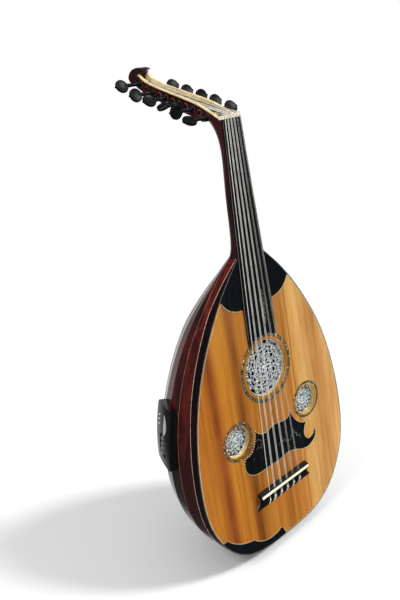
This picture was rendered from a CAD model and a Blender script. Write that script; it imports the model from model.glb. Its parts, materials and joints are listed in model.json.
"""Looks of the oud: finishes, carved roses, mosaics, inlays, purfling, string ends and turned pegs."""

import json
import math
import random

import bmesh
import bpy
from mathutils import Matrix, Vector


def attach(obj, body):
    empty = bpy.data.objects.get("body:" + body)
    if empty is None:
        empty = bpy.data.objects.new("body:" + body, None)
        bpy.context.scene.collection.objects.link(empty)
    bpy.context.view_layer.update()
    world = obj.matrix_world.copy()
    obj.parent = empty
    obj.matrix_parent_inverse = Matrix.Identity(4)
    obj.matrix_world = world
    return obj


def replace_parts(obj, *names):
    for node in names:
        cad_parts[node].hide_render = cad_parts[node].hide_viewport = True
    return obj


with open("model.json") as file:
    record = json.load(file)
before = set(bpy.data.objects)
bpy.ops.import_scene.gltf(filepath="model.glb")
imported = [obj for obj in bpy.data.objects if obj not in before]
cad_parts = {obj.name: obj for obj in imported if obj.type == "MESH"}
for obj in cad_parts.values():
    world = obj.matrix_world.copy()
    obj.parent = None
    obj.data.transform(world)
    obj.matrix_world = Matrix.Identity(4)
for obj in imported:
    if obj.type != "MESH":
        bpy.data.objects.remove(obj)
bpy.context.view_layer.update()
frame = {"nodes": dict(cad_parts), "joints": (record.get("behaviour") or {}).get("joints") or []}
NODES = frame["nodes"]
BODY = "oud_body"
MM = 0.001

# Sizes shared with the CAD part, in millimetres.
JOINT_Z = -196.0
ROSE_Z = -380.5
SMALL_ROSE_X = 81.5
SMALL_ROSE_Z = -471.5
GUARD_FACE = -0.8
FINGERBOARD_FACE = -2.0
CHEEK_THICKNESS = 4.5
PEGBOX_HALF_WIDTHS = (17.8, 10.5)
PEGBOX_REACH = 185.0
SHAFT_RADII = (4.2, 3.2)
SHAFT_SPAN = 15.0
PEG_HEAD_RADIUS = 10.6
WINDING_RADIUS = 4.9
BRIDGE_Z = -585.0
TIE_Z = BRIDGE_Z - 13.0
STRING_Y_AT_NUT = -4.2
STRING_Y_AT_BRIDGE = -6.0
# The pegs from the nut onward: distance back, head angle in degrees, head's distance from its cheek.
LEFT_PEG_Y = (29.0, 58.0, 86.0, 115.0, 144.0, 173.0)
RIGHT_PEG_Y = (43.5, 72.0, 100.5, 129.5, 158.5)
LEFT_PEG_TURNS = (122.0, 190.0, 64.0, 140.0, 162.0, 152.0)
RIGHT_PEG_TURNS = (150.0, 158.0, 168.0, 160.0, 152.0)
LEFT_HEAD_OUT = (33.0, 31.0, 29.5, 32.0, 34.0, 36.0)
RIGHT_HEAD_OUT = (31.0, 30.0, 30.5, 30.0, 29.0)
# The courses from the bass side: place at the nut, place at the bridge, string radius, strings.
COURSES = [(-14.5, -38.5, 0.6, 1), (-9.2, -26.0, 0.5, 2), (-3.2, -10.5, 0.45, 2),
           (2.8, 5.0, 0.42, 2), (8.8, 20.5, 0.36, 2), (14.8, 36.0, 0.32, 2)]
PAIR_GAP_AT_NUT = 1.8
PAIR_GAP_AT_BRIDGE = 2.5
WOUND_COURSES = 4

# Sizes of what is added here, in millimetres.
# Near the neck the band beside the soundboard narrows by BAND_TAPER for each unit of height.
BAND_TAPER = 0.164
BAND_AT_JOINT = 2.5
WIDEST_Z = -450.0
STRINGING = 0.5
MOSAIC_TILE = 2.3
MOSAIC_LINE = 0.55
TOOTH_SPACING = 4.2

# The camera: where it is in millimetres, azimuth, elevation and roll in degrees, and its lens.
CAMERA_PLACE = (-657.92, -666.63, 36.9)
CAMERA_ANGLES = (-39.468, 17.272, -9.684)
CAMERA_LENS = 39.016


# ---- Finishes ----
def tone(red, green, blue):
    """A display colour, 0 to 255 a channel, as the linear colour that shaders use."""
    linear = [((c / 255 + 0.055) / 1.055) ** 2.4 if c > 10 else c / 255 / 12.92 for c in (red, green, blue)]
    return (*linear, 1.0)


WHITE = tone(255, 255, 255)


class Tree:
    """A node tree while it is being put together."""

    def __init__(self, owner):
        owner.use_nodes = True
        self.tree = owner.node_tree

    def feed(self, socket, value):
        if isinstance(value, bpy.types.NodeSocket):
            self.tree.links.new(value, socket)
        else:
            socket.default_value = value

    def feed_all(self, node, inputs):
        for name, value in inputs.items():
            self.feed(node.inputs[name.replace("_", " ")], value)

    def node(self, kind, settings=None, **inputs):
        made = self.tree.nodes.new("ShaderNode" + kind)
        for name, value in (settings or {}).items():
            setattr(made, name, value)
        self.feed_all(made, inputs)
        return made

    def combine(self, kind, settings, values, numbers, output):
        """A node whose inputs go by number, because they have no names of their own."""
        made = self.node(kind, settings)
        for number, value in zip(numbers, values):
            self.feed(made.inputs[number], value)
        return made.outputs[output]

    def maths(self, operation, first, second=0.0):
        return self.combine("Math", {"operation": operation}, (first, second), (0, 1), 0)

    def span(self, value, low, high, to_low=0.0, to_high=1.0):
        values = (value, low, high, to_low, to_high)
        return self.combine("MapRange", {"clamp": True}, values, range(5), 0)


class Finish(Tree):
    """A procedural material."""

    def __init__(self, name, **sockets):
        self.material = bpy.data.materials.new(name)
        super().__init__(self.material)
        self.shader = self.tree.nodes["Principled BSDF"]
        coordinates = self.node("TexCoord")
        self.place = coordinates.outputs["Object"]
        self.facing = coordinates.outputs["Normal"]
        self.feed_all(self.shader, sockets)

    def axis(self, letter):
        return self.node("SeparateXYZ", Vector=self.place).outputs[letter]

    def noise(self, scale, stretch=(1, 1, 1), detail=3.0, roughness=0.5, distortion=0.0):
        place = self.node("Mapping", Vector=self.place, Scale=stretch).outputs[0]
        made = self.node("TexNoise", Vector=place, Scale=scale, Detail=detail, Roughness=roughness,
                         Distortion=distortion)
        return made.outputs[0]

    def blend(self, factor, first, second, mode="MIX"):
        settings = {"data_type": "RGBA", "blend_type": mode}
        return self.combine("Mix", settings, (factor, first, second), (0, 6, 7), 2)

    def ramp(self, factor, stops):
        made = self.node("ValToRGB", Fac=factor)
        points = made.color_ramp.elements
        points[0].position, points[0].color = stops[0]
        points[1].position, points[1].color = stops[-1]
        for where, colour in stops[1:-1]:
            points.new(where).color = colour
        return made.outputs[0]

    def lined(self, colour, pores, strength, dark, where):
        """A colour with fine lines over it; where says at what noise values they are dark and gone."""
        lines = self.ramp(pores, [(where[0], tone(*dark)), (where[1], WHITE)])
        return self.blend(strength, colour, lines, "MULTIPLY")

    def paint(self, colour):
        self.feed(self.shader.inputs["Base Color"], colour)

    def mottle(self, cloud, dark, light):
        self.paint(self.ramp(cloud, [(0.35, tone(*dark)), (0.65, tone(*light))]))

    def gloss(self, factor, low, high):
        self.feed(self.shader.inputs["Roughness"], self.span(factor, 0.3, 0.7, low, high))

    def bump(self, height, strength=0.3, depth=0.0004):
        made = self.node("Bump", Height=height, Strength=strength, Distance=depth)
        self.feed(self.shader.inputs["Normal"], made.outputs[0])


LENGTHWISE = (1.0, 1.0, 0.035)


def wood(name, dark, middle, light, grain=900.0, roughness=(0.3, 0.42), coat=0.0, stretch=LENGTHWISE):
    """Straight-grained wood: fine lines along the grain over slow bands of three display colours."""
    finish = Finish(name, Coat_Weight=coat, Coat_Roughness=0.06)
    fine = finish.noise(grain, stretch, 4.0, 0.6)
    slow = finish.noise(grain / 11, stretch, 3.0, 0.55, 0.4)
    streaks = finish.ramp(slow, [(0.32, tone(*dark)), (0.5, tone(*middle)), (0.68, tone(*light))])
    finish.paint(finish.lined(streaks, fine, 0.75, (150, 150, 150), (0.34, 0.55)))
    finish.gloss(fine, *roughness)
    finish.bump(fine, 0.15)
    return finish.material


# The soundboard's planks and streaks: a place across the width, 0 to 1, and a colour.
PLANKS = (
    (0.00, 172, 106, 22), (0.08, 190, 124, 26), (0.125, 160, 92, 10), (0.15, 124, 64, 5),
    (0.17, 150, 84, 9), (0.215, 192, 130, 28), (0.27, 188, 126, 28), (0.305, 140, 80, 11),
    (0.325, 126, 70, 8), (0.36, 172, 114, 30), (0.45, 182, 124, 34), (0.52, 176, 116, 35),
    (0.60, 192, 134, 50), (0.645, 180, 122, 46), (0.672, 204, 152, 76), (0.679, 150, 96, 40),
    (0.686, 208, 160, 86), (0.735, 218, 176, 106), (0.79, 206, 162, 96), (0.83, 194, 148, 82),
    (0.88, 204, 158, 92), (0.95, 220, 178, 114), (1.00, 208, 162, 98),
)


def board_wood():
    """Varnished spruce: planks and streaks across the width, grain along the length."""
    finish = Finish("spruce_board", Coat_Weight=0.1, Coat_Roughness=0.15, Specular_IOR_Level=0.3)
    wander = finish.noise(9.0, (1.0, 1.0, 0.35), 2.0)
    drift = finish.maths("MULTIPLY", finish.maths("SUBTRACT", wander, 0.5), 0.012)
    across = finish.maths("ADD", finish.axis("X"), drift)
    share = finish.span(across, -0.17, 0.17)
    planks = finish.ramp(share, [(at, tone(*colour)) for at, *colour in PLANKS])
    streak = finish.noise(75.0, (1.0, 1.0, 0.03), 4.0, 0.6, 0.3)
    streaks = finish.ramp(streak, [(0.3, tone(168, 118, 70)), (0.5, tone(238, 226, 208)),
                                   (0.7, tone(255, 250, 236))])
    colour = finish.blend(0.75, planks, streaks, "MULTIPLY")
    fine = finish.noise(850.0, (1.0, 1.0, 0.012), 3.0, 0.6)
    colour = finish.lined(colour, fine, 0.55, (190, 150, 110), (0.36, 0.52))
    blotch = finish.noise(14.0, (1.0, 1.0, 0.5), 3.0, 0.6)
    warm = finish.span(blotch, 0.48, 0.7, 0.0, 0.4)
    colour = finish.blend(warm, colour, tone(176, 96, 22))
    upper = finish.span(finish.axis("Z"), -0.36, -0.2, 0.0, 0.12)
    colour = finish.blend(upper, colour, tone(214, 170, 112))
    finish.paint(colour)
    finish.gloss(streak, 0.32, 0.46)
    finish.bump(fine, 0.12)
    return finish.material


def rib_wood(name, depth, hue):
    """Polished dark red bowl wood. depth scales its tones, hue says how far it leans to orange."""
    dark = tone(44 * depth, 7 * depth, 8 * depth)
    middle = tone(80 * depth, (15 + hue) * depth, 13 * depth)
    light = tone(122 * depth, (27 + 2 * hue) * depth, 22 * depth)
    finish = Finish(name, Coat_Weight=1.0, Coat_Roughness=0.05)
    slow = finish.noise(42.0, (1.0, 1.0, 0.06), 4.0, 0.6, 0.7)
    streaks = finish.ramp(slow, [(0.34, dark), (0.52, middle), (0.7, light)])
    pores = finish.noise(1100.0, (1.0, 1.0, 0.03), 3.0, 0.65)
    height = finish.span(finish.axis("Z"), -0.5, -0.29)
    shade = finish.ramp(height, [(0.0, tone(168, 150, 150)), (1.0, WHITE)])
    streaks = finish.blend(1.0, streaks, shade, "MULTIPLY")
    finish.paint(finish.lined(streaks, pores, 0.8, (140, 130, 130), (0.38, 0.5)))
    finish.gloss(slow, 0.2, 0.34)
    finish.bump(pores, 0.05)
    return finish.material


def band_wood():
    """The near-black band beside the soundboard; close to the neck the red rib wood takes its place."""
    finish = Finish("band_wood", Coat_Weight=0.35, Coat_Roughness=0.08, Specular_IOR_Level=0.3)
    slow = finish.noise(80.0, LENGTHWISE, 3.0, 0.55, 0.4)
    dark = finish.ramp(slow, [(0.32, tone(13, 6, 8)), (0.5, tone(20, 9, 10)), (0.68, tone(34, 13, 13))])
    red = finish.ramp(slow, [(0.32, tone(60, 12, 12)), (0.5, tone(96, 22, 18)), (0.68, tone(132, 38, 28))])
    sloping = finish.maths("ADD", finish.axis("Y"), finish.maths("MULTIPLY", finish.axis("Z"), BAND_TAPER))
    seam = (BAND_TAPER * JOINT_Z + BAND_AT_JOINT) * MM
    share = finish.span(sloping, seam, seam + 0.0001)
    pores = finish.noise(900.0, LENGTHWISE, 4.0, 0.6)
    finish.paint(finish.lined(finish.blend(share, dark, red), pores, 0.7, (150, 150, 150), (0.34, 0.55)))
    finish.gloss(pores, 0.22, 0.34)
    finish.bump(pores, 0.1)
    return finish.material


def cheek_wood():
    """Pegbox cheeks: stained dark red outside, bare pale wood on the faces towards the strings."""
    finish = Finish("pegbox_wood", Coat_Weight=0.15, Coat_Roughness=0.15)
    slow = finish.noise(60.0, (1.0, 0.12, 0.3), 4.0, 0.6, 0.4)
    stained = finish.ramp(slow, [(0.3, tone(26, 6, 10)), (0.5, tone(52, 12, 17)), (0.72, tone(78, 20, 22))])
    bare = finish.ramp(slow, [(0.3, tone(232, 192, 112)), (0.5, tone(250, 226, 156)),
                              (0.7, tone(255, 242, 194))])
    side = finish.node("SeparateXYZ", Vector=finish.facing).outputs["X"]
    inward = finish.maths("MULTIPLY", side, finish.maths("SIGN", finish.axis("X")))
    inside = finish.span(inward, -0.5, -0.3, 1.0, 0.0)
    pores = finish.noise(900.0, (1.0, 0.05, 0.3), 3.0, 0.6)
    colour = finish.blend(inside, stained, bare)
    finish.paint(finish.lined(colour, pores, 0.5, (170, 160, 150), (0.35, 0.52)))
    finish.gloss(slow, 0.28, 0.42)
    finish.bump(pores, 0.1)
    return finish.material


def ebony(name, stretch=LENGTHWISE, low=0.26, high=0.42, brown=1.0, shine=0.22):
    """Black wood with faint brown streaks and fine pores under a satin finish."""
    finish = Finish(name, Specular_IOR_Level=shine)
    slow = finish.noise(70.0, stretch, 4.0, 0.6, 0.3)
    colour = finish.ramp(slow, [(0.35, tone(9, 12, 15)), (0.6, tone(15, 19, 23)),
                                (0.78, tone(22 + 8 * brown, 25 + 2 * brown, 28))])
    pores = finish.noise(1300.0, stretch, 3.0, 0.65)
    finish.paint(colour)
    finish.gloss(pores, low, high)
    finish.bump(pores, 0.12, 0.0002)
    return finish.material


def bone():
    """Polished bone: cream with faint grey growth lines and soft depth."""
    finish = Finish("bone", Subsurface_Weight=0.12, Subsurface_Scale=0.001)
    slow = finish.noise(160.0, (0.15, 1.0, 1.0), 4.0, 0.6)
    finish.paint(finish.ramp(slow, [(0.32, tone(232, 220, 170)), (0.58, tone(250, 244, 218))]))
    finish.gloss(slow, 0.34, 0.46)
    finish.bump(finish.noise(900.0), 0.05, 0.0002)
    return finish.material


def lattice_bone():
    """The roses' pierced work: silvery white with grey, blue and green casts in the hollows."""
    finish = Finish("rose_bone", Specular_IOR_Level=0.6)
    spots = finish.noise(330.0, (1, 1, 1), 4.0, 0.65)
    colour = finish.ramp(spots, [(0.34, tone(58, 66, 74)), (0.44, tone(150, 160, 162)),
                                 (0.52, tone(232, 238, 236)), (0.8, tone(252, 254, 252))])
    cast = finish.ramp(finish.noise(120.0), [(0.35, tone(196, 228, 214)), (0.5, WHITE),
                                             (0.66, tone(214, 206, 240))])
    finish.paint(finish.blend(0.7, colour, cast, "MULTIPLY"))
    finish.gloss(spots, 0.25, 0.5)
    finish.bump(spots, 0.35, 0.0003)
    return finish.material


def pearl(name, first, second, third):
    """Shell inlay: patches of colour that change along fine layers."""
    finish = Finish(name, Coat_Weight=0.6, Coat_Roughness=0.08, Metallic=0.25)
    layers = finish.noise(420.0, (1.0, 1.0, 0.5), 4.0, 0.6, 2.0)
    finish.paint(finish.ramp(layers, [(0.32, tone(*first)), (0.5, tone(*second)), (0.66, tone(*third))]))
    finish.gloss(layers, 0.16, 0.36)
    finish.bump(layers, 0.1, 0.0002)
    return finish.material


def nickel():
    """Plated metal with soft clouding and fine polishing marks."""
    finish = Finish("nickel", Metallic=1.0)
    cloud = finish.noise(240.0, (1, 1, 1), 4.0, 0.6)
    finish.mottle(cloud, (168, 166, 160), (206, 204, 198))
    finish.gloss(cloud, 0.2, 0.34)
    finish.bump(finish.noise(1500.0, (1.0, 0.2, 1.0)), 0.08, 0.0001)
    return finish.material


def wound_wire():
    """Strings wrapped in fine wire: a ridge for every turn."""
    finish = Finish("wound_wire", Metallic=0.25, Specular_IOR_Level=0.6)
    bands = {"bands_direction": "Z"}
    turns = finish.node("TexWave", bands, Vector=finish.place, Scale=620.0, Distortion=0.0)
    cloud = finish.noise(200.0, (1, 1, 0.3))
    finish.mottle(cloud, (206, 204, 198), (240, 238, 230))
    finish.gloss(cloud, 0.25, 0.4)
    finish.bump(turns.outputs[1], 0.15, 0.0001)
    return finish.material


def nylon():
    """Clear plain strings with faint streaks along them."""
    finish = Finish("nylon", Transmission_Weight=0.75, IOR=1.5)
    cloud = finish.noise(260.0, (1, 1, 0.1))
    finish.mottle(cloud, (236, 234, 226), (252, 250, 246))
    finish.gloss(cloud, 0.12, 0.22)
    finish.bump(cloud, 0.05, 0.0001)
    return finish.material


def plastic(name, dark, light, roughness=(0.12, 0.2), coat=0.5, texture=0.04, grain=1600.0):
    """Moulded plastic: nearly even colour, faint mottling and a fine surface texture."""
    finish = Finish(name, Coat_Weight=coat, Coat_Roughness=0.04)
    cloud = finish.noise(90.0, (1, 1, 1), 4.0, 0.6)
    finish.mottle(cloud, dark, light)
    finish.gloss(cloud, *roughness)
    finish.bump(finish.noise(grain), texture, 0.0002)
    return finish.material


FINISH = {
    "board": board_wood(),
    "inner_wood": wood("inner_wood", (150, 104, 62), (188, 142, 92), (214, 174, 124),
                       roughness=(0.55, 0.7)),
    "band": band_wood(),
    "neck": wood("neck_wood", (34, 9, 15), (56, 15, 22), (80, 24, 28), roughness=(0.28, 0.4), coat=0.3),
    "clasp": rib_wood("clasp_wood", 0.8, 4),
    "cheek": cheek_wood(),
    "ebony": ebony("ebony"),
    "guard": ebony("guard_ebony", low=0.2, high=0.32, brown=0.3),
    "peg": ebony("peg_ebony", (0.06, 1.0, 1.0), 0.36, 0.5, 1.3, 0.16),
    "bone": bone(),
    "cream": wood("cream_maple", (226, 196, 140), (244, 222, 172), (252, 238, 202),
                  roughness=(0.35, 0.5)),
    "collar": wood("collar_maple", (204, 150, 62), (232, 190, 96), (246, 218, 140),
                   roughness=(0.3, 0.45), stretch=(1, 1, 1), grain=300.0),
    "lattice": lattice_bone(),
    "pearl": pearl("pearl", (150, 158, 158), (206, 208, 200), (236, 232, 220)),
    "green_shell": pearl("green_shell", (50, 72, 62), (96, 114, 88), (150, 150, 112)),
    "amber_shell": pearl("amber_shell", (126, 88, 44), (164, 130, 76), (196, 170, 112)),
    "grey_shell": pearl("grey_shell", (64, 62, 58), (104, 98, 86), (144, 136, 118)),
    "inlay": pearl("inlay_shell", (92, 100, 92), (134, 140, 124), (176, 176, 154)),
    "dark_line": wood("dark_line", (16, 12, 12), (26, 20, 18), (44, 34, 28)),
    "pale_line": wood("pale_line", (196, 150, 130), (222, 184, 166), (238, 208, 190), grain=500.0),
    "rib_line": wood("rib_line", (150, 96, 80), (180, 126, 108), (206, 156, 134), grain=500.0),
    "grey_line": wood("grey_line", (120, 118, 112), (150, 148, 140), (176, 172, 162), grain=500.0),
    "nylon": nylon(),
    "knot": wood("knot_thread", (222, 216, 210), (242, 236, 230), (252, 250, 246), grain=1400.0),
    "bushing": wood("bushing_wood", (120, 60, 52), (158, 92, 76), (188, 122, 98)),
    "wound": wound_wire(),
    "panel": plastic("panel_black", (6, 7, 8), (12, 13, 15), (0.08, 0.14), 0.8, 0.02),
    "display": plastic("display_glass", (186, 190, 190), (216, 218, 216), (0.06, 0.12), 1.0, 0.01),
    "lamp": plastic("lamp_plastic", (226, 228, 228), (250, 250, 250), (0.2, 0.3)),
    "slider": plastic("slider_plastic", (112, 114, 118), (150, 152, 156), (0.35, 0.5), 0.1, 0.15),
    "case": plastic("case_plastic", (20, 20, 22), (34, 34, 36), (0.45, 0.6), 0.0, 0.3, 500.0),
    "battery": plastic("battery_case", (92, 96, 104), (122, 126, 134), (0.3, 0.4), 0.1, 0.05),
    "nickel": nickel(),
    "pickup": plastic("pickup_plastic", (180, 170, 150), (208, 198, 176), (0.4, 0.5), 0.0, 0.1),
}
# How light and how orange each pair of ribs is, from the soundboard to the middle of the back.
RIB_TONES = [(1.15, 4), (0.95, 0), (1.1, 6), (0.9, 2), (1.05, 5), (0.92, 0), (1.08, 4), (0.95, 2)]

NODE_FINISH = {
    "soundboard": "board", "soundboard_braces": "inner_wood", "soundboard_binding": "dark_line",
    "neck_block": "inner_wood", "tail_block": "inner_wood",
    "side_bands": "band", "end_clasp": "clasp", "neck": "neck", "fingerboard": "ebony",
    "upper_guard_left": "guard", "upper_guard_right": "guard", "lower_guard": "guard", "arm_guard": "guard",
    "bridge": "ebony", "bridge_strip": "bone", "nut": "bone",
    "pegbox_cheek_left": "cheek", "pegbox_cheek_right": "cheek", "pegbox_back": "cheek",
    "pegbox_finial": "neck",
    "pegbox_edge_strips": "cream", "plain_strings": "nylon", "wound_strings": "wound",
    "preamp_panel": "panel", "preamp_display": "display", "preamp_lamps": "lamp", "preamp_case": "case",
    "battery": "battery", "output_jack": "nickel", "pickup_strip": "pickup",
}


def finish_nodes():
    """Gives every CAD node that stays its finish."""
    chosen = {name: FINISH[key] for name, key in NODE_FINISH.items()}
    for number in range(1, 5):
        chosen[f"preamp_slider_{number}"] = FINISH["slider"]
    for number, (depth, hue) in enumerate(RIB_TONES, start=1):
        chosen[f"rib_pair_{number}"] = rib_wood(f"rib_wood_{number}", depth, hue)
    chosen["rib_centre"] = rib_wood("rib_wood_centre", 1.1, 4)
    for name, material in chosen.items():
        node = NODES[name]
        node.data.materials.clear()
        node.data.materials.append(material)


# ---- Shapes ----
class Shape:
    """Points and faces gathered in millimetres for one piece."""

    def __init__(self):
        self.points = []
        self.faces = []
        self.finishes = []

    def loft(self, rings, closed=False, finish=0):
        """Joins rings of the same number of points into a skin."""
        start = len(self.points)
        count = len(rings[0])
        for ring in rings:
            self.points.extend(ring)
        steps = len(rings) if closed else len(rings) - 1
        for step in range(steps):
            here = start + step * count
            there = start + (step + 1) % len(rings) * count
            for i in range(count):
                j = (i + 1) % count
                self.add_face((here + i, here + j, there + j, there + i), finish)
        if not closed:
            self.add_face(tuple(start + i for i in reversed(range(count))), finish)
            self.add_face(tuple(start + steps * count + i for i in range(count)), finish)

    def add_face(self, corners, finish):
        self.faces.append(corners)
        self.finishes.append(finish)

    def tube(self, path, radius, sides):
        """A round bar along path."""
        across = None
        rings = []
        for i, point in enumerate(path):
            tangent = direction(path, i)
            across = tangent.orthogonal() if across is None else across - tangent * across.dot(tangent)
            across.normalize()
            other = tangent.cross(across)
            rings.append([point + (across * math.cos(a) + other * math.sin(a)) * radius
                          for a in circle_angles(sides)])
        self.loft(rings)

    def ribbon(self, path, width, front, back, closed=False, chamfer=0.0):
        """A flat bar parallel to the soundboard. path is (x, z) pairs; front and back are its depths."""
        widths = width if isinstance(width, (list, tuple)) else [width] * len(path)
        line = [Vector((x, 0, z)) for x, z in path]
        rings = []
        for i, point in enumerate(line):
            tangent = direction(line, i, closed)
            side = Vector((-tangent.z, 0, tangent.x)) * widths[i] / 2
            edge = side * (1 - chamfer)
            shoulder = front + (back - front) * chamfer
            half = [(side, back), (side, shoulder), (edge, front)]
            section = half + [(-offset, depth) for offset, depth in reversed(half)]
            rings.append([point + offset + Vector((0, depth, 0)) for offset, depth in section])
        self.loft(rings, closed)

    def lathe(self, profile, centre, axis, sides, closed=False):
        """A turned form: profile is (distance along axis, radius) pairs."""
        across = axis.orthogonal().normalized()
        other = axis.cross(across)
        rings = []
        for along, radius in profile:
            rings.append([centre + axis * along + (across * math.cos(a) + other * math.sin(a)) * radius
                          for a in circle_angles(sides)])
        self.loft(rings, closed)

    def piece(self, name, materials, body=BODY, slot=None, angle=40.0):
        mesh = bpy.data.meshes.new(name)
        mesh.from_pydata([tuple(Vector(p) * MM) for p in self.points], [], self.faces)
        for material in materials:
            mesh.materials.append(material)
        for face, finish in zip(mesh.polygons, self.finishes):
            face.material_index = finish
            face.use_smooth = True
        work = bmesh.new()
        work.from_mesh(mesh)
        bmesh.ops.recalc_face_normals(work, faces=work.faces)
        work.to_mesh(mesh)
        work.free()
        mesh.set_sharp_from_angle(angle=math.radians(angle))
        made = new_object(name, mesh)
        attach(made, body)
        return made


def new_object(name, data):
    made = bpy.data.objects.new(name, data)
    bpy.context.scene.collection.objects.link(made)
    return made


def circle_angles(count):
    return [2 * math.pi * i / count for i in range(count)]


def direction(path, i, closed=False):
    """The unit direction of a path at one of its points."""
    last = len(path) - 1
    if closed:
        ahead, behind = path[(i + 1) % len(path)], path[i - 1]
    else:
        ahead, behind = path[min(i + 1, last)], path[max(i - 1, 0)]
    return (ahead - behind).normalized()


# ---- Roses ----
# Each rose: name, x, z, radius, its mosaic ring's two radii, repeats of the pattern, plate depth.
ROSES = [
    ("main_rose", 0.0, ROSE_Z, 45.5, (50.5, 56.0), 12, 6.0),
    ("small_rose_left", -SMALL_ROSE_X, SMALL_ROSE_Z, 25.4, (27.5, 31.6), 8, 8.0),
    ("small_rose_right", SMALL_ROSE_X, SMALL_ROSE_Z, 25.4, (27.5, 31.6), 8, 8.0),
]


def arc(x, z, radius, start, stop, steps):
    """(x, z) pairs along an arc; start and stop are in degrees."""
    angles = [math.radians(start + (stop - start) * i / steps) for i in range(steps + 1)]
    return [(x + radius * math.cos(a), z + radius * math.sin(a)) for a in angles]


def scroll(radius, turns, steps, tail):
    """A volute as points on a plane: it runs in from a tail and curls up to its eye."""
    points = []
    for i in range(steps + 1):
        share = i / steps
        grow = radius * (1 - share) ** 0.8 + radius * 0.12
        angle = 2 * math.pi * turns * share
        points.append((grow * math.cos(angle) - grow, grow * math.sin(angle) - tail * (1 - share) ** 3))
    return points


def placed(points, x, z, degrees, flip=1.0, shift=(0.0, 0.0)):
    """Mirrors, shifts and turns flat points about a rose's centre."""
    turn = math.radians(degrees)
    cos, sin = math.cos(turn), math.sin(turn)
    found = []
    for a, b in points:
        a, b = a + shift[0], (b + shift[1]) * flip
        found.append((x + a * cos - b * sin, z + a * sin + b * cos))
    return found


def lattice(name, x, z, radius, count, plate, chance):
    """Pierced arabesque: rings, scrolls, bowed spokes and petals, all of one ribbon."""
    work = Shape()
    front, back = plate - 0.3, plate + 1.4
    width = radius * (0.027 if count > 8 else 0.038)
    step = 360.0 / count
    centre = Vector((x, back, z))
    out = Vector((0, -1, 0))

    def bar(path, size, raised, closed=False, chamfer=0.25):
        work.ribbon(path, size, front + raised, back, closed, chamfer)

    def spot(share, degrees):
        angle = math.radians(degrees)
        return centre + Vector((radius * share * math.cos(angle), 0, radius * share * math.sin(angle)))

    for share, band in ((0.975, 1.8), (0.66, 1.0), (0.36, 1.0), (0.16, 1.2)):
        bar(arc(x, z, radius * share, 0, 360, 96)[:-1], width * band, 0.0, True)
    for i in range(count):
        base = i * step + chance.uniform(-0.06, 0.06) * step
        between = base + step / 2
        for flip in (1, -1):
            size = radius * chance.uniform(0.088, 0.112)
            outer = scroll(size, chance.uniform(1.2, 1.6), 26, radius * 0.06)
            bar(placed(outer, x, z, base, flip, (radius * 0.925, radius * 0.045)), taper(width, 27), 0.1)
            size = radius * chance.uniform(0.066, 0.084)
            inner = scroll(size, chance.uniform(1.1, 1.5), 22, radius * 0.05)
            bar(placed(inner, x, z, between, flip, (radius * 0.84, radius * 0.035)), taper(width, 23), 0.15)
            shares = ((0.66, 0), (0.585, 0.085), (0.5, 0.1), (0.42, 0.06), (0.36, 0))
            reach = smooth([(radius * along, radius * across) for along, across in shares], 4)
            bar(placed(reach, x, z, base, flip), width * 0.9, 0.2)
        bow = []
        for t in range(9):
            at = spot(0.66 - 0.3 * t / 8, base + 2.2 * step * (t / 8) ** 1.5)
            bow.append((at.x, at.z))
        bar(bow, width * 0.8, 0.3)
        leaf_outline = placed(petal(radius * 0.09, radius * 0.17), x, z, between, 1, (radius * 0.26, 0))
        bar(leaf_outline, width * 0.7, 0.1, True)
        bud = placed(petal(radius * 0.028, radius * 0.05), x, z, between, 1, (radius * 0.72, 0))
        bar(bud, width * 0.8, 0.05, True, 0.0)
        work.lathe(dome(radius * 0.03), spot(0.8, base), out, 12)
    boss = [(0.0, radius * 0.085), (1.2, radius * 0.085), (1.7, radius * 0.05), (1.9, 0.05)]
    work.lathe(boss, centre, out, 24)
    for i in range(6):
        work.lathe(dome(radius * 0.03), spot(0.12, 60 * i), out, 12)
    work.piece(f"{name}_lattice", [FINISH["lattice"]], slot="rose_bone")


def taper(width, count):
    """Widths along a bar that thins evenly towards its tip."""
    return [width * (1 - 0.55 * i / (count - 1)) for i in range(count)]


def dome(radius):
    return [(0.0, radius), (0.9, radius), (1.5, radius * 0.75), (1.75, 0.05)]


def petal(half_width, length):
    """A closed leaf outline that points outward."""
    points = []
    for i in range(20):
        angle = 2 * math.pi * i / 20
        along = (1 - math.cos(angle)) / 2
        swell = math.sin(math.pi * along) ** 0.5 if 0 < along < 1 else 0.0
        points.append(((along - 0.5) * length, half_width * math.sin(angle) * swell))
    return points


def smooth(points, steps):
    """Catmull-Rom points through the given ones."""
    found = []
    for i in range(len(points) - 1):
        before = points[max(i - 1, 0)]
        after = points[min(i + 2, len(points) - 1)]
        for k in range(steps):
            t = k / steps
            mixed = []
            for axis in range(len(points[0])):
                a, b, c, d = before[axis], points[i][axis], points[i + 1][axis], after[axis]
                mixed.append(0.5 * (2 * b + (c - a) * t + (2 * a - 5 * b + 4 * c - d) * t * t
                                    + (3 * b - a - 3 * c + d) * t ** 3))
            found.append(tuple(mixed))
    found.append(tuple(points[-1]))
    return found


def collar(name, x, z, radius, plate):
    """The wooden wall under the sound hole, with a small step where the pierced plate sits."""
    work = Shape()
    centre = Vector((x, 0, z))
    profile = [(2.0, radius + 4), (2.0, radius), (plate, radius), (plate, radius - 0.4),
               (plate + 2.0, radius - 0.4), (plate + 2.0, radius + 4)]
    work.lathe(profile, centre, Vector((0, 1, 0)), 96, closed=True)
    work.piece(f"{name}_collar", [FINISH["collar"]], slot="maple_strip")


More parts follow.
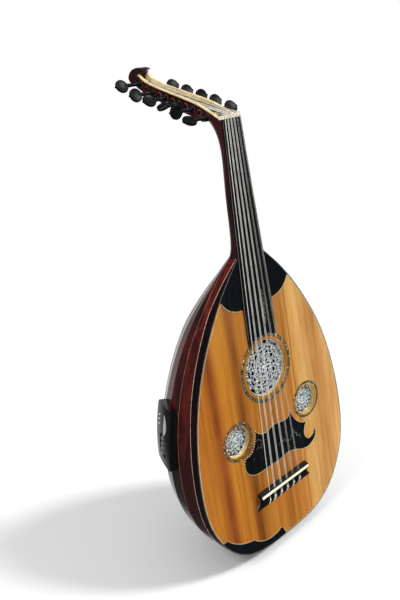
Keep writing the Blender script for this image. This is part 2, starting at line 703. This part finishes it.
def mosaic(name, x, z, inner, outer, chance):
    """A ring of small shell tiles between two dark lines."""
    work = Shape()
    shells = [FINISH[key] for key in ("grey_shell", "green_shell", "pearl", "amber_shell", "dark_line")]
    depth = (outer - inner - 2 * MOSAIC_LINE) / 2
    for row in range(2):
        low = inner + MOSAIC_LINE + row * depth
        count = round(2 * math.pi * (low + depth / 2) / MOSAIC_TILE)
        gap = 360.0 / count
        for i in range(count):
            start = gap * (i + 0.5 * row) + chance.uniform(-0.08, 0.08) * gap
            stop = start + gap * 0.93
            corners = arc(x, z, low + 0.06, start, stop, 2) + arc(x, z, low + depth - 0.06, stop, start, 2)
            top = chance.uniform(-0.06, 0.0)
            kind = chance.choices(range(5), (34, 28, 7, 11, 20))[0]
            rings = [[Vector((a, y, b)) for a, b in corners] for y in (0.75, top)]
            work.loft(rings, finish=kind)
    work.piece(f"{name}_mosaic", shells, slot="mosaic", angle=30)
    edging = Shape()
    for radius in (inner + MOSAIC_LINE / 2, outer - MOSAIC_LINE / 2):
        edging.ribbon(arc(x, z, radius, 0, 360, 128)[:-1], MOSAIC_LINE, -0.08, 0.75, True)
    bed = arc(x, z, (inner + outer) / 2, 0, 360, 128)[:-1]
    edging.ribbon(bed, outer - inner - MOSAIC_LINE, 0.2, 0.78, True)
    return edging.piece(f"{name}_mosaic_lines", [FINISH["dark_line"]], slot="mosaic")


def build_roses():
    chance = random.Random(11)
    rings = []
    for name, x, z, radius, (inner, outer), count, plate in ROSES:
        lattice(name, x, z, radius, count, plate, chance)
        collar(name, x, z, radius, plate)
        rings.append(mosaic(name, x, z, inner, outer, chance))
        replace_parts(bpy.data.objects[f"{name}_lattice"], name)
    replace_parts(rings[0], "rose_rings")


# ---- Lines taken from the CAD meshes ----
def chains(name, keep):
    """A CAD node's hard edges as lists of points in millimetres, split where they turn sharply."""
    mesh = NODES[name].data
    spots = [tuple(round(c * 1e6) for c in v.co) for v in mesh.vertices]
    uses = {}
    for face in mesh.polygons:
        ids = face.vertices
        for i in range(len(ids)):
            pair = frozenset((ids[i], ids[i - 1]))
            uses[pair] = uses.get(pair, 0) + 1
    near = {}
    seen = set()
    for pair, count in uses.items():
        if count != 1 or len(pair) != 2:
            continue
        a, b = (spots[i] for i in pair)
        if a == b or frozenset((a, b)) in seen or not (keep(a) and keep(b)):
            continue
        seen.add(frozenset((a, b)))
        near.setdefault(a, []).append(b)
        near.setdefault(b, []).append(a)

    def straight(before, here, there):
        first = (Vector(here) - Vector(before)).normalized()
        return first.dot((Vector(there) - Vector(here)).normalized())

    found = []
    while seen:
        start, second = tuple(next(iter(sorted(map(sorted, seen)))))
        seen.discard(frozenset((start, second)))
        line = [start, second]
        for _ in range(2):
            while True:
                here, before = line[-1], line[-2]
                options = [p for p in near[here] if frozenset((here, p)) in seen]
                options = [p for p in options if straight(before, here, p) > 0.6]
                if not options:
                    break
                best = max(options, key=lambda p: straight(before, here, p))
                seen.discard(frozenset((here, best)))
                line.append(best)
            line.reverse()
        found.append([Vector(p) * 0.001 for p in line])
    return found


def length(line):
    return sum((b - a).length for a, b in zip(line, line[1:]))


def rib_seams(name):
    """The outer long edges of a rib node that lie towards the soundboard."""
    long_edges = [line for line in chains(name, lambda p: True) if length(line) > 300]
    groups = {}
    for line in long_edges:
        middle = min(line, key=lambda p: abs(p.z - WIDEST_Z))
        if abs(middle.z - WIDEST_Z) > 40:
            continue
        groups.setdefault(middle.x > 0, []).append((middle, line))
    seams = []
    for members in groups.values():
        outer = sorted(members, key=lambda m: math.atan2(abs(m[0].x), m[0].y))[-2:]
        seams.append(max(outer, key=lambda m: math.hypot(m[0].x, m[0].y))[1])
    return seams


def purfling():
    """Pale lines in the seams of the bowl; the one beside the band slopes in towards the neck."""
    first = Shape()
    for line in rib_seams("rib_pair_1"):
        tapered = []
        for point in line:
            seam = BAND_AT_JOINT + BAND_TAPER * (JOINT_Z - point.z)
            tapered.append(Vector((point.x, min(point.y, seam), point.z)))
        first.tube(tapered, 0.45, 6)
    first.piece("band_seam_purfling", [FINISH["pale_line"]], slot="maple_strip")
    rest = Shape()
    names = [f"rib_pair_{number}" for number in range(2, 9)] + ["rib_centre"]
    for name in names:
        for line in rib_seams(name):
            rest.tube(line, 0.28, 6)
    rest.piece("rib_seam_purfling", [FINISH["rib_line"]], slot="maple_strip")


def resample(line, step, closed=False):
    """Evenly spaced points along a line, with the direction at each."""
    points = line + [line[0]] if closed else line
    total = length(points)
    count = max(2, round(total / step))
    found = []
    target = 0.0
    walked = 0.0
    for a, b in zip(points, points[1:]):
        span = (b - a).length
        while span > 0 and target <= walked + span and len(found) < count + (0 if closed else 1):
            found.append((a + (b - a) * ((target - walked) / span), (b - a).normalized()))
            target += total / count
        walked += span
    return found


def face_outline(name, depth):
    """Closed outlines of a flat CAD face at one depth, as lists of points in order."""
    lines = chains(name, lambda p: abs(p[1] - depth * 1000) < 30)
    loops = []
    while lines:
        loop = lines.pop(0)
        grown = True
        while grown and (loop[0] - loop[-1]).length > 0.01:
            grown = False
            for other in lines:
                if (other[0] - loop[-1]).length < 0.01:
                    loop = loop + other[1:]
                elif (other[-1] - loop[-1]).length < 0.01:
                    loop = loop + other[-2::-1]
                else:
                    continue
                lines.remove(other)
                grown = True
                break
        loops.append(loop)
    return loops


def nearest(point, points):
    return min((point - other).length for other in points)


def rim_line(work, offset, depth):
    """A line that follows the soundboard's edge, from the neck joint round to the joint again."""
    rim = resample(max(face_outline("soundboard", 0.0), key=length), 3.0, True)
    joint = max(range(len(rim)), key=lambda i: rim[i][0].z)
    rim = [(p, along) for p, along in rim[joint:] + rim[:joint] if p.z < JOINT_Z - 2.0]
    heading = max(rim, key=lambda item: item[0].x)[1]
    side = 1 if heading.z > 0 else -1
    path = [(p.x + side * offset * along.z, p.z - side * offset * along.x) for p, along in rim]
    work.ribbon(path, STRINGING, depth, 0.1)


def edge_lines():
    """Stringing in the binding, a pale line inside it, and a thin trim round the bridge's foot."""
    grey = Shape()
    rim_line(grey, 1.0, -0.05)
    path = [(x, BRIDGE_Z + z) for x, z in ((58.2, 7), (58.2, -2), (56.7, -9), (60.7, -16), (67.3, -22.3))]
    ends = smooth(path, 5)
    grey.ribbon(ends + [(-x, z) for x, z in ends[::-1]], STRINGING, -0.7, 0.1)
    grey.piece("grey_stringing", [FINISH["grey_line"]], slot="maple_strip")
    pale = Shape()
    rim_line(pale, -0.5, -0.04)
    pale.piece("pale_stringing", [FINISH["cream"]], slot="maple_strip")


def toothed_edging():
    """Cream teeth along the guards' free edges, half let into the black wood."""
    work = Shape()
    rim = [p for loop in face_outline("soundboard_binding", 0.0) for p, _ in resample(loop, 1.5, True)]
    for name in ("lower_guard", "upper_guard_left", "upper_guard_right", "arm_guard"):
        for loop in face_outline(name, GUARD_FACE):
            for point, along in resample(loop, TOOTH_SPACING, True):
                flat = Vector((point.x, 0, point.z))
                beside_fingerboard = "upper" in name and abs(point.x) < 33
                if name != "lower_guard" and (beside_fingerboard or nearest(flat, rim) < 3.4):
                    continue
                out = Vector((-along.z, 0, along.x))
                base = tooth(flat, along, out, 0.85, 0.55)
                crown = tooth(flat, along, out, 0.7, 0.42)
                levels = ((-0.02, base), (-0.85, base), (-1.0, crown))
                work.loft([[p + Vector((0, y, 0)) for p in corners] for y, corners in levels])
    work.piece("guard_edging", [FINISH["cream"]], slot="maple_strip", angle=30)


def tooth(centre, along, out, half_length, half_width):
    corners = ((-1, -1), (1, -1), (1, 1), (-1, 1))
    return [centre + along * a * half_length + out * b * half_width for a, b in corners]


def leaf(work, x, z, degrees, size, depth):
    """A pointed leaf that starts at (x, z)."""
    path, widths = [], []
    for i in range(9):
        share = i / 8
        path.append((share * size, 0.12 * size * math.sin(math.pi * share)))
        widths.append(max(0.12, 0.36 * size * math.sin(math.pi * share ** 0.8)))
    work.ribbon(placed(path, x, z, degrees), widths, depth - 0.05, depth + 0.25, chamfer=0.2)


def vine(work, points, depth, leaf_size, spacing, stem=0.5):
    """A winding stem with leaves on both sides in turn."""
    path = smooth(points, 8)
    work.ribbon(path, stem, depth - 0.05, depth + 0.25, chamfer=0.2)
    line = [Vector((x, 0, z)) for x, z in path]
    for i, (point, along) in enumerate(resample(line, spacing)):
        heading = math.degrees(math.atan2(along.z, along.x))
        size = leaf_size * (0.8 + 0.3 * ((i * 7) % 3) / 2)
        leaf(work, point.x, point.z, heading + (52 if i % 2 else -52), size, depth)


def curl(work, x, z, radius, degrees, flip, depth, width=0.5):
    path = placed(scroll(radius, 1.2, 20, radius * 0.8), x, z, degrees, flip)
    work.ribbon(path, taper(width, 21), depth - 0.05, depth + 0.25, chamfer=0.2)


def inlays():
    """Shell scrolls on the lower guard and the fingerboard, and a fine line along its two edges."""
    work = Shape()
    face = GUARD_FACE
    vine(work, [(3, -518), (14, -516), (30, -524), (40, -512), (48, -522), (57, -530)], face, 3.0, 5.0, 0.4)
    curls = ((9, -517, 2.2, 80, 1), (24, -521, 2.6, 100, -1), (40, -512, 2.4, 250, 1),
             (48, -522, 2.2, 80, 1), (57, -530, 2.2, 60, -1))
    for x, z, radius, degrees, flip in curls:
        curl(work, x, z, radius, degrees, flip, face, 0.4)
    vine(work, [(-46, -487), (-35, -491), (-35, -502), (-46, -501)], face, 2.8, 5.2, 0.35)
    for x, z in ((-56, -516), (-39, -522), (-30, -530)):
        leaf(work, x, z, 20, 2.4, face)
    face = FINGERBOARD_FACE
    centre = 9.0
    for low, high in ((-306, -288), (-284, -258)):
        steps = [(centre + 2.4 * math.sin(i * math.pi / 2), low + (high - low) * i / 6) for i in range(7)]
        vine(work, steps, face, 4.2, 3.0)
    for z in (-307, -286, -257):
        for degrees in range(0, 360, 45):
            leaf(work, centre, z, degrees, 4.4 if z == -286 else 3.2, face)
    for z, flip in ((-294, 1), (-276, -1), (-268, 1), (-300, -1)):
        curl(work, centre + 3 * flip, z, 3.0, 90, flip, face)
        curl(work, centre - 3 * flip, z, 2.4, 90, -flip, face)
    work.piece("pearl_inlays", [FINISH["inlay"]], slot="mosaic")
    lines = Shape()
    for side in (-1, 1):
        edge = [(side * 16.7, -1.0), (side * 30.1, JOINT_Z - 80.0), (side * 30.1, -332.0)]
        lines.ribbon(edge, 0.45, face - 0.04, face + 0.2)
    lines.piece("fingerboard_lines", [FINISH["grey_line"]], slot="maple_strip")


# ---- String ends and pegs ----
def strings_at_rest():
    """One entry for each string from the bass side: its place at the nut and the bridge, radius, course."""
    found = []
    for course, (nut, bridge, radius, count) in enumerate(COURSES):
        for i in range(count):
            share = i - (count - 1) / 2
            at_nut, at_bridge = nut + share * PAIR_GAP_AT_NUT, bridge + share * PAIR_GAP_AT_BRIDGE
            found.append((at_nut, at_bridge, radius, course))
    return found


def string_finish(course):
    return ("wound_wire", FINISH["wound"]) if course < WOUND_COURSES else ("nylon", FINISH["nylon"])


def knots():
    """At the back of the bridge each string is wrapped round itself and led down to its hole."""
    for number, (_, x, radius, _) in enumerate(strings_at_rest(), start=1):
        work = Shape()
        thick = max(radius, 0.42)
        loop = []
        for i in range(49):
            share = i / 48
            angle = 2 * math.pi * 3.0 * share
            around = Vector((0.65 * math.cos(angle), 0.8 * math.sin(angle), -3.4 * share))
            loop.append(Vector((x, STRING_Y_AT_BRIDGE - 0.1, TIE_Z + 3.2)) + around)
        work.tube(loop, thick * 0.8, 7)
        for side in (-1, 1):
            drops = ((0.6, -6.0, 0.5), (0.9, -5.2, -2.0), (-0.3, -4.2, -4.4), (-0.8, -3.3, -6.8),
                     (-0.6, -2.2, -8.2))
            tail = smooth([(x + across * side, y, TIE_Z + z) for across, y, z in drops], 5)
            work.tube([Vector(p) for p in tail], thick * 0.7, 6)
        work.piece(f"string_knot_{number:02d}", [FINISH["knot"]], slot="nylon")


def pegbox_half_width(y):
    """Half of the pegbox's width at a distance back."""
    wide, narrow = PEGBOX_HALF_WIDTHS
    return wide - (wide - narrow) * min(y, PEGBOX_REACH) / PEGBOX_REACH


def shaft_radius(side, x):
    """A peg's shaft is thicker on the side of its head."""
    thick, thin = SHAFT_RADII
    return thin + (thick - thin) * (1 + side * x / SHAFT_SPAN) / 2


def peg_rows():
    """Every peg: its number, side, place, turn, and where its cheek, head and first wind are."""
    pivots = {joint["name"]: joint["pos_m"] for joint in frame["joints"] if "pos_m" in joint}
    rows = []
    for side, places, turns, reaches, first in ((-1, LEFT_PEG_Y, LEFT_PEG_TURNS, LEFT_HEAD_OUT, 1),
                                                (1, RIGHT_PEG_Y, RIGHT_PEG_TURNS, RIGHT_HEAD_OUT, 7)):
        for order, (y, turn, reach) in enumerate(zip(places, turns, reaches)):
            number = first + order
            z = pivots[f"peg_{number:02d}_turn"][2] / MM
            cheek = pegbox_half_width(y)
            rows.append({"number": number, "side": side, "y": y, "z": z, "turn": turn, "cheek": cheek,
                         "head": cheek + reach, "wind": cheek - CHEEK_THICKNESS - 2.0 - 0.7 * order})
    return rows


def turned_peg(row):
    """A friction peg: tapered shaft, turned collar and neck, and a dished disc with a small bead."""
    side, cheek, head = row["side"], row["cheek"], row["head"]
    centre = Vector((0, row["y"], row["z"]))
    out = Vector((side, 0, 0))
    work = Shape()
    near, far = cheek + 1.4, -cheek - 1.6
    tip = shaft_radius(side, side * far)
    shaft = [(far - 0.05, 0.3), (far, tip - 0.5), (far + 0.5, tip), (near, shaft_radius(side, side * near))]
    collar_steps = ((0.0, 4.6), (0.5, 5.2), (1.2, 5.6), (2.0, 5.5), (2.6, 4.9), (2.9, 4.3), (3.3, 4.9),
                    (4.1, 4.9), (4.6, 4.2), (6.0, 3.4), (9.0, 2.9), (12.0, 2.75))
    neck_steps = ((-12.0, 3.0), (-10.0, 3.6), (-8.0, 3.2), (-4.0, 1.8), (-2.0, 0.3))
    profile = shaft + [(near + along, r) for along, r in collar_steps]
    profile += [(head + along, r) for along, r in neck_steps]
    work.lathe(profile, centre, out, 32)
    turn = Matrix.Rotation(math.radians(row["turn"]), 3, "X")
    radius = PEG_HEAD_RADIUS
    section = smooth([(0.0, 1.6), (0.3, 1.65), (0.6, 2.0), (0.8, 2.6), (0.9, 2.6), (0.965, 2.0),
                      (0.992, 1.1), (1.0, 0.0)], 3)
    dish = [(-t, s * radius) for s, t in section] + [(t, s * radius) for s, t in section[-2::-1]]
    dish = [(a, max(r, 0.05)) for a, r in dish]
    start = len(work.points)
    work.lathe(dish, Vector((0, 0, 0)), Vector((0, 1, 0)), 48)
    bead_steps = ((-0.9, 0.05), (-0.7, 1.3), (0.1, 1.5), (0.4, 1.2), (0.9, 1.7), (1.7, 1.5), (2.2, 0.9),
                  (2.35, 0.05))
    work.lathe([(radius + along, r) for along, r in bead_steps], Vector((0, 0, 0)), out, 16)
    for index in range(start, len(work.points)):
        work.points[index] = turn @ Vector(work.points[index]) + Vector((side * head, row["y"], row["z"]))
    body = f"tuning_peg_{row['number']:02d}"
    made = work.piece(f"turned_peg_{row['number']:02d}", [FINISH["peg"]], body, "ebony", 50)
    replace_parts(made, f"peg_{row['number']:02d}")


def winding(row, radius, course):
    """The turns of string on a peg, from where it comes off the nut towards the cheek."""
    side = row["side"]
    room = row["wind"] + 0.2 * row["cheek"]
    turns = min(7, max(3, int(room / (2.3 * radius))))
    path = []
    for i in range(turns * 20 + 1):
        angle = 2 * math.pi * i / 20
        x = row["wind"] - 2.25 * radius * i / 20
        reach = shaft_radius(side, side * x) + radius + 0.05
        turned = Vector((0, math.sin(angle), math.cos(angle))) * reach
        path.append(Vector((side * x, row["y"], row["z"])) + turned)
    work = Shape()
    work.tube(path, radius, 7)
    slot, material = string_finish(course)
    work.piece(f"string_winding_{row['number']:02d}", [material], f"tuning_peg_{row['number']:02d}", slot)


def bushings(rows):
    """Thin pale rings round the peg holes on both cheeks."""
    work = Shape()
    for row in rows:
        side = row["side"]
        slant = math.atan((PEGBOX_HALF_WIDTHS[0] - PEGBOX_HALF_WIDTHS[1]) / PEGBOX_REACH)
        for end in (side, -side):
            bore = shaft_radius(side, end * row["cheek"]) + 0.12
            outward = Vector((end * math.cos(slant), math.sin(slant), 0))
            centre = Vector((end * row["cheek"], row["y"], row["z"])) - outward * 0.3
            steps = ((0, 0), (0.55, 0), (0.7, 0.25), (0.7, 0.75), (0.55, 1.0), (0, 1.0))
            profile = [(along, bore + more) for along, more in steps]
            work.lathe(profile, centre, outward, 32, closed=True)
    work.piece("peg_bushings", [FINISH["bushing"]], slot="maple_strip")


def build_pegs():
    rows = peg_rows()
    for row in rows:
        turned_peg(row)
    left, right = rows[:len(LEFT_PEG_Y)], rows[len(LEFT_PEG_Y):]
    plain, wound = Shape(), Shape()
    for row, (nut, bridge, radius, course) in zip(left + right[::-1], strings_at_rest()):
        winding(row, radius, course)
        path = [Vector((bridge, STRING_Y_AT_BRIDGE, TIE_Z)), Vector((nut, STRING_Y_AT_NUT, 5.5)),
                Vector((nut, STRING_Y_AT_NUT + 0.15, 6.1)),
                Vector((row["side"] * row["wind"], row["y"] - 2.0, row["z"] + WINDING_RADIUS))]
        (wound if course < WOUND_COURSES else plain).tube(path, radius, 12)
    for name, work, course in (("wound_strings", wound, 0), ("plain_strings", plain, WOUND_COURSES)):
        slot, material = string_finish(course)
        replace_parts(work.piece(f"{name}_tubes", [material], slot=slot), name)
    bushings(rows)


# ---- Camera, light and floor ----
def camera():
    azimuth, elevation, roll = (math.radians(angle) for angle in CAMERA_ANGLES)
    back = Vector((math.sin(azimuth) * math.cos(elevation), -math.cos(azimuth) * math.cos(elevation),
                   math.sin(elevation)))
    level = (-back).cross(Vector((0, 0, 1))).normalized()
    upright = level.cross(-back)
    right = level * math.cos(roll) + upright * math.sin(roll)
    up = upright * math.cos(roll) - level * math.sin(roll)
    made = new_object("camera", bpy.data.cameras.new("camera"))
    made.data.lens = CAMERA_LENS
    made.data.sensor_width = 36.0
    made.data.clip_end = 50.0
    place = Matrix((right, up, back)).transposed().to_4x4()
    place.translation = Vector(CAMERA_PLACE) * MM
    made.matrix_world = place
    bpy.context.scene.camera = made


def studio_world():
    """White all round, but glossy surfaces see a dark room with one bright wall behind the oud."""
    world = bpy.data.worlds.new("studio")
    bpy.context.scene.world = world
    studio = Tree(world)

    def sky(strength):
        return studio.node("Background", Color=(1.0, 1.0, 1.0, 1.0), Strength=strength).outputs[0]

    def choose(factor, first, second):
        return studio.combine("MixShader", None, (factor, first, second), range(3), 0)

    around = studio.node("TexCoord").outputs["Generated"]
    wall = (0.62, 0.76, -0.15)
    toward = studio.combine("VectorMath", {"operation": "DOT_PRODUCT"}, (around, wall), (0, 1), "Value")
    behind = studio.span(toward, 0.7, 1.0, 0.04, 0.9)
    path = studio.node("LightPath")
    lit = choose(path.outputs["Is Glossy Ray"], sky(0.6), sky(behind))
    seen = choose(path.outputs["Is Camera Ray"], lit, sky(1.0))
    studio.feed(studio.tree.nodes["World Output"].inputs["Surface"], seen)


def light(name, kind, energy, where, target):
    made = new_object(name, bpy.data.lights.new(name, kind))
    made.data.energy = energy
    made.location = where
    made.rotation_euler = (Vector(target) - Vector(where)).to_track_quat("-Z", "Y").to_euler()
    return made.data


def lights():
    key = light("key", "SUN", 2.5, (0.75, -1.0, 1.05), (0.0, 0.0, 0.0))
    key.angle = math.radians(12.0)
    window = light("window", "AREA", 9.0, (-1.3, -0.2, 0.9), (-0.05, 0.05, -0.4))
    window.size = 0.5


def floor():
    low = min(v.co.z for node in NODES.values() for v in node.data.vertices)
    mesh = bpy.data.meshes.new("floor")
    reach = 0.9
    rim = [(reach * math.cos(a), reach * math.sin(a), low) for a in circle_angles(64)]
    mesh.from_pydata(rim, [], [range(64)])
    made = new_object("floor", mesh)
    finish = Finish("floor_paper", Roughness=0.9)
    finish.paint(tone(250, 250, 250))
    mesh.materials.append(finish.material)
    made.visible_glossy = False


finish_nodes()
build_roses()
purfling()
edge_lines()
toothed_edging()
inlays()
knots()
build_pegs()
camera()
studio_world()
lights()
floor()
bpy.context.scene.view_settings.view_transform = "Standard"
